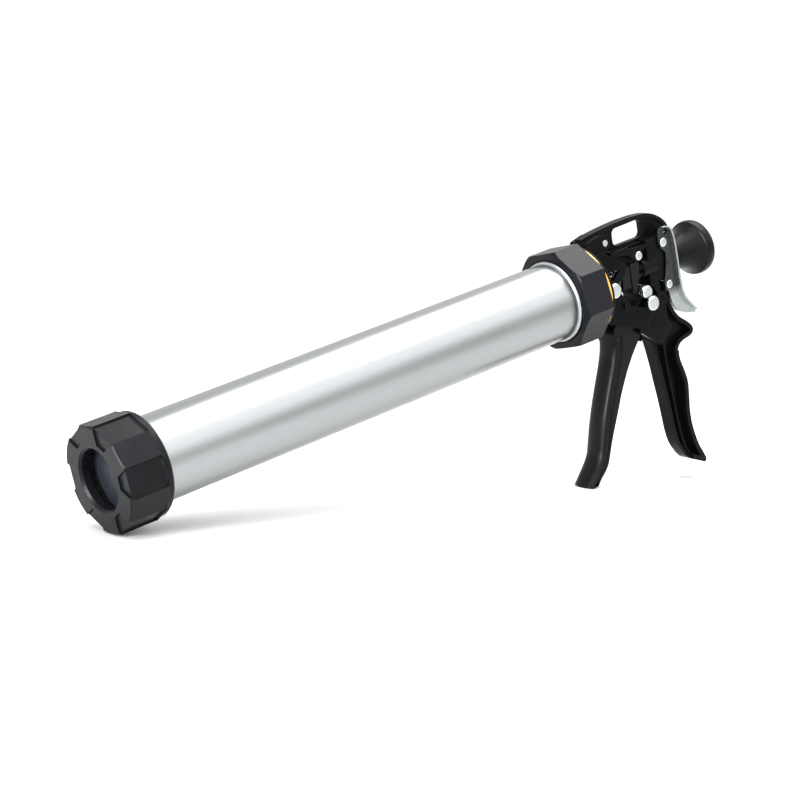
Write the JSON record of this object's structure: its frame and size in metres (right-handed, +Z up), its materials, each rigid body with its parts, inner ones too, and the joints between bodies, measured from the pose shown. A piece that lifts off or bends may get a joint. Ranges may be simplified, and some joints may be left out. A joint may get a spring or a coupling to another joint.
{
  "type": "caulking gun",
  "caption": "Hand caulking gun for foil packs: aluminium barrel with black screw cap, swivel collar, skeleton pistol handle with trigger, silver release lever and push rod with knob.",
  "frame": {"origin": "centre of the nozzle hole, in the plane of the hole's front rim", "axes": "+X along the barrel axis from the nozzle hole back to the knob; +Z up, with the grip hanging down; +Y across the gun"},
  "size_m": [0.5165, 0.0706, 0.1958],
  "materials": {
    "cap_black": "satin moulded nylon",
    "seal_rubber": "matt",
    "barrel_alu": "fine satin anodised",
    "ferrule_metal": "bright satin",
    "collar_black": "satin moulded nylon",
    "ring_amber": "semi-gloss",
    "casting_black": "semi-gloss powder coat on cast aluminium",
    "trigger_black": "semi-gloss powder coat on cast aluminium",
    "rivet_steel": "bright",
    "bush_grey": "dark",
    "drive_dark": "blackened steel",
    "spring_steel": "bright",
    "lock_steel": "ground",
    "lever_zinc": "satin zinc plate",
    "rod_steel": "ground",
    "piston_dark": "satin",
    "knob_black": "satin moulded nylon"
  },
  "bodies": {
    "handle": {"handle_body": "casting_black", "body_screws": "rivet_steel", "front_rivets": "rivet_steel", "rod_bush_front": "bush_grey", "rod_bush_rear": "bush_grey", "trigger_pin": "rivet_steel", "anchor_pin": "rivet_steel", "lever_pin": "rivet_steel", "lever_spring": "spring_steel"},
    "barrel": {"barrel_tube": "barrel_alu", "barrel_ferrule": "ferrule_metal", "collar": "collar_black", "friction_ring": "ring_amber"},
    "seat": {"seat_ring": "seal_rubber"},
    "cap": {"front_cap": "cap_black"},
    "trigger": {"trigger": "trigger_black", "drive_pin": "rivet_steel"},
    "drive_arm": {"drive_arm": "drive_dark"},
    "gripper": {"gripping_plate": "drive_dark", "return_spring": "spring_steel"},
    "release": {"release_lever": "lever_zinc", "catch_pin": "rivet_steel"},
    "lock": {"lock_plate": "lock_steel"},
    "rod": {"plunger_rod": "rod_steel", "piston_cup": "piston_dark", "piston_pad": "piston_dark", "piston_washer": "rivet_steel", "piston_nut": "rivet_steel", "knob": "knob_black", "knob_screw": "rivet_steel"}
  },
  "joints": [
    {"name": "trigger_pivot", "type": "hinge", "parent": "handle", "child": "trigger", "pos_m": [0.4523, 0, -0.0235], "axis": [0, -1, 0], "range_deg": [0, 30], "stiffness_Nm_per_rad": 1, "springref_deg": -20.05},
    {"name": "drive_arm_pivot", "type": "hinge", "parent": "handle", "child": "drive_arm", "pos_m": [0.4499, 0, 0.0113], "axis": [0, 1, 0], "range_deg": [0, 8.7]},
    {"name": "gripper_slide", "type": "slide", "parent": "handle", "child": "gripper", "axis": [-1, 0, 0], "range_m": [0, 0.0032], "deforming": ["return_spring"]},
    {"name": "rod_slide", "type": "slide", "parent": "handle", "child": "rod", "axis": [1, 0, 0], "range_m": [0, 0.35]},
    {"name": "release_pivot", "type": "hinge", "parent": "handle", "child": "release", "pos_m": [0.4736, 0, 0.0148], "axis": [0, 1, 0], "range_deg": [0, 5], "stiffness_Nm_per_rad": 0.8, "springref_deg": -17.19},
    {"name": "lock_slide", "type": "slide", "parent": "handle", "child": "lock", "axis": [-1, 0, 0], "range_m": [0, 0.0005]},
    {"name": "barrel_swivel", "type": "hinge", "parent": "handle", "child": "barrel", "pos_m": [0.39, 0, 0], "axis": [1, 0, 0], "continuous": true},
    {"name": "cap_travel", "type": "slide", "parent": "barrel", "child": "seat", "axis": [-1, 0, 0], "range_m": [0, 0.0091]},
    {"name": "cap_turn", "type": "hinge", "parent": "seat", "child": "cap", "pos_m": [0.01, 0, 0], "axis": [-1, 0, 0], "range_deg": [0, 1080]}
  ],
  "couplings": [
    {"joint": "drive_arm_pivot", "follows": "trigger_pivot", "ratio": 0.285},
    {"joint": "gripper_slide", "follows": "trigger_pivot", "m_per_rad": 0.006},
    {"joint": "lock_slide", "follows": "release_pivot", "m_per_rad": 0.0055},
    {"joint": "cap_travel", "follows": "cap_turn", "m_per_rad": 0.00047746}
  ]
}
